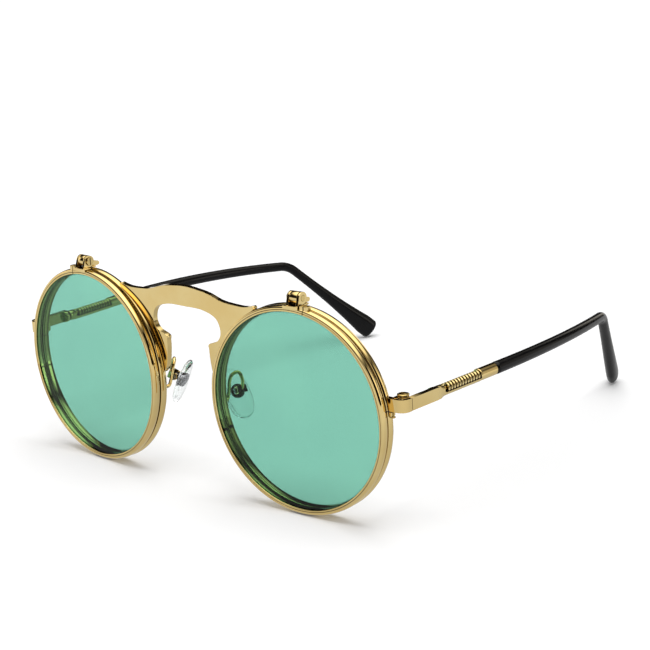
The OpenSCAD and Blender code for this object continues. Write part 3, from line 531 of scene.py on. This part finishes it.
# from the pad's own frame to its place behind the left rim
def padPlace(v=padValues):
    lean, splay, turn = (math.radians(-v[k]) for k in ("lean", "splay", "turn"))
    return (eyePlace() @ Matrix.Translation(Vector(v["centreMm"]) * mm) @ Matrix.Rotation(lean, 4, "X")
            @ Matrix.Rotation(splay, 4, "Y") @ Matrix.Rotation(turn, 4, "Z"))


for side in sides:
    obj = loft("nosePad" + side.capitalize(), padRings())
    obj.data.transform(padPlace())
    if side == "right":
        mirrorX(obj)
    finishPiece(obj, "nose_pad_" + side)
print("nose pads lofted")

# temple bars: the CAD bar up to the scoop, then a loft that opens from the flat bar into the half pipe
cradleValues = {"cutMm": 0.55, "lapMm": 0.05, "barEndMm": 1.15, "scoopMm": 2.6, "pipeMm": 12.95,
                "barOuterMm": 1.5, "barInnerMm": 0.1, "barHalfMm": 1.5, "cornerMm": 0.12, "edgeMm": 0.12,
                "pipeRadiusMm": 1.5, "pipeDropMm": 0.1, "boreRadiusMm": 1.35, "wallTopMm": -0.5,
                "floorShare": 0.9, "scoopSteps": 18, "sideSteps": 11, "underSteps": 5, "topSteps": 9,
                "lowCornerSteps": 4, "topCornerSteps": 3, "sharpAngle": 38}


# rounded rectangle in two runs: down, under and up the outside, then back along the top
def barOutline(v=cradleValues):
    right, left, half, c = v["barOuterMm"], v["barInnerMm"], v["barHalfMm"], v["cornerMm"]
    flat, tall, low, high = right - left - 2 * c, 2 * half - 2 * c, v["lowCornerSteps"], v["topCornerSteps"]
    outer = [(right, half - c - tall * k / v["sideSteps"]) for k in range(v["sideSteps"] + 1)]
    outer += arcPoints((right - c, -half + c), c, 0, -90, low)[1:-1]
    outer += [(right - c - flat * k / v["underSteps"], -half) for k in range(v["underSteps"] + 1)]
    outer += arcPoints((left + c, -half + c), c, -90, -180, low)[1:-1]
    outer += [(left, -half + c + tall * k / v["sideSteps"]) for k in range(v["sideSteps"] + 1)]
    top = arcPoints((left + c, half - c), c, 180, 90, high)[1:]
    top += [(left + c + flat * k / v["topSteps"], half) for k in range(1, v["topSteps"])]
    return outer, top + arcPoints((right - c, half - c), c, 90, 0, high)[:-1]


# half pipe with the same counts of points: outer wall from top to top, then the bore back
def pipeOutline(outerCount, boreCount, v=cradleValues):
    wall = math.degrees(math.asin((v["wallTopMm"] + v["pipeDropMm"]) / v["pipeRadiusMm"]))
    bore = math.degrees(math.asin(v["wallTopMm"] / v["boreRadiusMm"]))
    outer = arcPoints((0, -v["pipeDropMm"]), v["pipeRadiusMm"], wall, -180 - wall, outerCount - 1)
    return outer + arcPoints((0, 0), v["boreRadiusMm"], -180 - bore, bore, boreCount - 1)


def cradleRings(first, along, v=cradleValues):
    across = Vector((along.y, -along.x, 0)).normalized()
    upward = across.cross(along)
    outer, top = barOutline()
    pipe = pipeOutline(len(outer), len(top))
    stations = [(v["cutMm"] - v["lapMm"], 0.0), (v["barEndMm"], 0.0)]  # distance along the wire, share of the pipe
    for k in range(1, v["scoopSteps"] + 1):
        stations.append((v["barEndMm"] + v["scoopMm"] * k / v["scoopSteps"], k / v["scoopSteps"]))
    stations.append((v["barEndMm"] + v["scoopMm"] + v["pipeMm"], 1.0))
    rings = []
    for distance, t in stations:
        wall = t * t * (3 - 2 * t)
        scooped = max(wall, v["floorShare"] * (1 - (1 - t) ** 3))  # the top sinks ahead of the walls
        ring = []
        for k, (a, b) in enumerate(zip(outer + top, pipe)):
            share = wall if k < len(outer) else scooped
            x, z = a[0] + (b[0] - a[0]) * share, a[1] + (b[1] - a[1]) * share
            ring.append(first + (along * distance + across * x + upward * z) * mm)
        rings.append(ring)
    return rings


for side in sides:
    obj = refined("temple_bar_" + side, cradleValues["edgeMm"])
    bm = bmesh.new()
    bm.from_mesh(obj.data)
    first, along = wireAxis(side)
    bmesh.ops.bisect_plane(bm, geom=bm.verts[:] + bm.edges[:] + bm.faces[:], clear_outer=True,
                           plane_co=first + along * cradleValues["cutMm"] * mm, plane_no=along)
    cradle = loft("cradle", cradleRings(leftFirst, leftAlong))
    if side == "right":
        mirrorX(cradle)
    bm.from_mesh(cradle.data)
    bm.to_mesh(obj.data)
    bm.free()
    bpy.data.objects.remove(cradle)
    obj.data.set_sharp_from_angle(angle=math.radians(cradleValues["sharpAngle"]))
print("temple bars scooped")

# coil springs: one Geometry Nodes tree, one plain mesh a side
springValues = {"turns": 12.0, "coilRadiusMm": 1.0, "wireRadiusMm": 0.3, "lengthMm": 12.2, "stepsPerTurn": 40,
                "wireSides": 14}


def springTree(inputNames, v=springValues):
    tree = bpy.data.node_groups.new("coilSpring", "GeometryNodeTree")
    tree.interface.new_socket("Geometry", in_out="OUTPUT", socket_type="NodeSocketGeometry")
    for name in inputNames:
        kind = "NodeSocketMaterial" if name == "Finish" else "NodeSocketFloat"
        tree.interface.new_socket(name, in_out="INPUT", socket_type=kind)
    entry = addNode(tree, "NodeGroupInput").outputs
    coil = addNode(tree, "GeometryNodeCurveSpiral", {
        "Resolution": v["stepsPerTurn"], "Rotations": entry["Turns"], "Height": entry["Length"],
        "Start Radius": entry["Coil Radius"], "End Radius": entry["Coil Radius"]})
    wire = addNode(tree, "GeometryNodeCurvePrimitiveCircle", {"Resolution": v["wireSides"],
                                                              "Radius": entry["Wire Radius"]})
    sweep = addNode(tree, "GeometryNodeCurveToMesh", {"Curve": coil.outputs["Curve"], "Fill Caps": True,
                                                      "Profile Curve": wire.outputs["Curve"]})
    smooth = addNode(tree, "GeometryNodeSetShadeSmooth", {"Geometry": sweep.outputs["Mesh"]})
    real = addNode(tree, "GeometryNodeRealizeInstances", {"Geometry": smooth.outputs["Geometry"]})
    paint = addNode(tree, "GeometryNodeSetMaterial", {"Geometry": real.outputs["Geometry"],
                                                      "Material": entry["Finish"]})
    addNode(tree, "NodeGroupOutput", {"Geometry": paint.outputs["Geometry"]})
    return tree


# from the coil's own frame (+Z along it) to its place on the core wire
def springPlace(side):
    first, along = wireAxis(side)
    start = reach("temple_spring_" + side, first, along, min) + springValues["wireRadiusMm"] * mm
    origin = first + along * start
    return Matrix.Translation(origin) @ along.to_track_quat("Z", "X").to_matrix().to_4x4()


coilInputs = {"Turns": springValues["turns"], "Coil Radius": springValues["coilRadiusMm"] * mm,
              "Wire Radius": springValues["wireRadiusMm"] * mm, "Length": springValues["lengthMm"] * mm,
              "Finish": materials["spring_gold"]}
coilTree = springTree(coilInputs)
sockets = {item.name: item.identifier for item in coilTree.interface.items_tree if item.in_out == "INPUT"}
for side in sides:
    obj = newObject("coilSpring" + side.capitalize(), bpy.data.meshes.new("coil"))
    winding = obj.modifiers.new("coil", "NODES")
    winding.node_group = coilTree
    for name, value in coilInputs.items():
        winding[sockets[name]] = value
    bakeModifiers(obj)
    obj.data.transform(springPlace(side))
    finishPiece(obj, "temple_spring_" + side)
print("springs wound")

# floor, backdrop and light; distances in metres, brightness 1 is white
# sky stops: share of the way up from straight down, and tone; panels: centre and half width in degrees, and level
stageValues = {
    "floorHalf": 6.0, "floorGapMm": 0.2, "floorTone": 0.86, "liftSpan": (0.12, 0.7), "lift": (0.04, 0.6),
    # in metal the floor glows, dimmer near the glasses as painted shade
    "shadedMirrorSpan": (0.02, 0.2), "shadedMirrorGlow": (0.5, 0.86), "fill": 0.5,
    "skyLevel": 2.4, "skyBelow": (0.5, (0.82, 0.82, 0.81)), "skyRim": (0.512, (0.008, 0.005, 0.003)),
    "skyTones": ((0.79, 0.012), (0.835, 0.35), (0.87, 1.3), (0.97, 2.2)), "skyWarmth": (1, 0.95, 0.85),
    "panelPale": "#fff8ea", "panelTop": (0.35, 0.6), "panelFade": 1.5,
    "panels": ((-100, 12, 0.5), (-12, 5, 0.6), (34, 12, 0.22), (62, 5, 0.85), (150, 10, 0.4))}


# what polished metal mirrors differs from what the eye and clear plastic see
def mirrorShare(tree, paths):
    return addNode(tree, "ShaderNodeMath", (paths.outputs["Is Glossy Ray"], paths.outputs["Is Transmission Ray"]),
                   operation="SUBTRACT", use_clamp=True).outputs["Value"]


# white paper: keeps the shadow, and whitens with distance for the camera alone; what metal mirrors of it glows,
# dimmer near the glasses as painted shade
def paperFloor(v=stageValues):
    mat, tree = newMaterial("whitePaper")
    coords = addNode(tree, "ShaderNodeTexCoord")
    away = addNode(tree, "ShaderNodeVectorMath", (coords.outputs["Object"],), operation="LENGTH").outputs["Value"]
    lift = addNode(tree, "ShaderNodeMapRange", (away, *v["liftSpan"], *v["lift"]))
    shadedMirrorGlow = addNode(tree, "ShaderNodeMapRange", (away, *v["shadedMirrorSpan"], *v["shadedMirrorGlow"]))
    lit = addNode(tree, "ShaderNodeBsdfDiffuse", {"Color": (v["floorTone"],) * 3 + (1,)})
    lifting = addNode(tree, "ShaderNodeEmission", {"Color": (1, 1, 1, 1), "Strength": lift.outputs["Result"]})
    shadedMirrorEmission = addNode(tree, "ShaderNodeEmission", {"Color": (1, 1, 1, 1), "Strength": shadedMirrorGlow.outputs["Result"]})
    lifted = addNode(tree, "ShaderNodeAddShader", (lit.outputs["BSDF"], lifting.outputs["Emission"]))
    paths = addNode(tree, "ShaderNodeLightPath")
    seen = addNode(tree, "ShaderNodeMixShader", (paths.outputs["Is Camera Ray"], lit.outputs["BSDF"],
                                                 lifted.outputs["Shader"]))
    pick = addNode(tree, "ShaderNodeMixShader", (mirrorShare(tree, paths), seen.outputs["Shader"],
                                                 shadedMirrorEmission.outputs["Emission"]))
    addNode(tree, "ShaderNodeOutputMaterial", {"Surface": pick.outputs["Shader"]})
    return mat


# stops of position and colour on a new colour ramp, in rising order
def fillRamp(ramp, stops):
    elements = ramp.color_ramp.elements
    for k, (position, colour) in enumerate(stops):
        stop = elements[k] if k < 2 else elements.new(position)  # a new ramp has two stops
        stop.position = position
        stop.color = (*colour, 1)


# the room: white to the eye, and in metal dark above the horizon with tall pale panels, bright overhead
def studioRoom(v=stageValues):
    world = bpy.data.worlds.new("studio")
    bpy.context.scene.world = world
    world.use_nodes = True
    tree = world.node_tree
    tree.nodes.clear()
    coords = addNode(tree, "ShaderNodeTexCoord")
    axes = addNode(tree, "ShaderNodeSeparateXYZ", (coords.outputs["Generated"],))
    upShare = addNode(tree, "ShaderNodeMapRange", (axes.outputs["Z"], -1, 1, 0, 1))
    height = addNode(tree, "ShaderNodeValToRGB", (upShare.outputs["Result"],))
    stops = [v["skyBelow"], v["skyRim"]]
    stops += [(position, [tone * warmth for warmth in v["skyWarmth"]]) for position, tone in v["skyTones"]]
    fillRamp(height, [(position, [c / v["skyLevel"] for c in colour]) for position, colour in stops])
    bearing = addNode(tree, "ShaderNodeMath", (axes.outputs["X"], axes.outputs["Y"]), operation="ARCTAN2")
    roundShare = addNode(tree, "ShaderNodeMapRange", (bearing.outputs["Value"], -math.pi, math.pi, 0, 1))
    strips = addNode(tree, "ShaderNodeValToRGB", (roundShare.outputs["Result"],))
    stops = [(0.0, 0.0)]
    for centre, half, level in v["panels"]:
        faded = half * v["panelFade"]
        for offset, tone in ((-faded, 0), (-half, level), (half, level), (faded, 0)):
            stops.append(((centre + offset) / 360 + 0.5, tone))
    stops.append((1.0, 0.0))
    fillRamp(strips, [(position, (tone, tone, tone)) for position, tone in stops])
    low = addNode(tree, "ShaderNodeMapRange", (axes.outputs["Z"], *v["panelTop"], 1, 0))
    panelShare = addNode(tree, "ShaderNodeMath", (strips.outputs["Color"], low.outputs["Result"]),
                         operation="MULTIPLY")
    room = addNode(tree, "ShaderNodeMix", {"Factor": panelShare.outputs["Value"], "A": height.outputs["Color"],
                                           "B": linear(v["panelPale"])}, data_type="RGBA")
    paths = addNode(tree, "ShaderNodeLightPath")
    seen = addNode(tree, "ShaderNodeMath", (paths.outputs["Is Camera Ray"], paths.outputs["Is Transmission Ray"]),
                   operation="MAXIMUM")
    strength = addNode(tree, "ShaderNodeMapRange", (seen.outputs["Value"], 0, 1, v["fill"], 1))
    plain = addNode(tree, "ShaderNodeBackground", {"Color": (1, 1, 1, 1), "Strength": strength.outputs["Result"]})
    mirrored = addNode(tree, "ShaderNodeBackground", {"Color": room.outputs["Result"], "Strength": v["skyLevel"]})
    pick = addNode(tree, "ShaderNodeMixShader", (mirrorShare(tree, paths), plain.outputs["Background"],
                                                 mirrored.outputs["Background"]))
    addNode(tree, "ShaderNodeOutputWorld", {"Surface": pick.outputs["Shader"]})


floorMesh = bpy.data.meshes.new("floor")
half = stageValues["floorHalf"]
floorMesh.from_pydata([(-half, -half, 0), (half, -half, 0), (half, half, 0), (-half, half, 0)], [], [(0, 1, 2, 3)])
floorMesh.materials.append(paperFloor())
floor = newObject("floor", floorMesh)
floor.location.z = lowStart.z - stageValues["floorGapMm"] * mm
studioRoom()

# soft boxes in metres and watts; metal mirrors the room instead of them
lampValues = {"overhead": {"place": (0.05, 0.0, 0.9), "target": (0, 0, 0), "size": 0.8, "power": 7.2},
              "frontBox": {"place": (-0.35, -0.7, 0.45), "target": (0, 0, 0.03), "size": 0.35, "power": 0.8}}
for name, v in lampValues.items():
    lampData = bpy.data.lights.new(name, "AREA")
    lampData.size = v["size"]
    lampData.energy = v["power"]
    lamp = newObject(name, lampData)
    lamp.location = v["place"]
    lamp.rotation_euler = (Vector(v["target"]) - Vector(v["place"])).to_track_quat("-Z", "Y").to_euler()
    lamp.visible_glossy = False
print("stage lit")

# camera at the photograph's view; angles in radians
cameraValues = {"placeMm": (291.327, -334.414, 153.748), "azimuth": 0.7316954, "elevation": 0.2793665,
                "roll": -0.0593858, "focalPixels": 1670.584, "framePixels": 650, "sensorMm": 36.0,
                "clipStartMm": 10.0}
cameraData = bpy.data.cameras.new("photoCamera")
camera = newObject("photoCamera", cameraData)
bpy.context.scene.camera = camera
azimuth, elevation, roll = (cameraValues[k] for k in ("azimuth", "elevation", "roll"))
forward = Vector((-math.sin(azimuth) * math.cos(elevation), math.cos(azimuth) * math.cos(elevation),
                  -math.sin(elevation)))
level = forward.cross(Vector((0, 0, 1))).normalized()
upright = level.cross(forward)
cosRoll, sinRoll = math.cos(roll), math.sin(roll)
turn = Matrix((level * cosRoll + upright * sinRoll, upright * cosRoll - level * sinRoll, -forward)).transposed()
camera.matrix_world = Matrix.Translation(Vector(cameraValues["placeMm"]) * mm) @ turn.to_4x4()
cameraData.sensor_width = cameraValues["sensorMm"]
cameraData.lens = cameraValues["focalPixels"] / cameraValues["framePixels"] * cameraValues["sensorMm"]
cameraData.clip_start = cameraValues["clipStartMm"] * mm
bpy.context.scene.view_settings.view_transform = "Standard"

print("finishing")
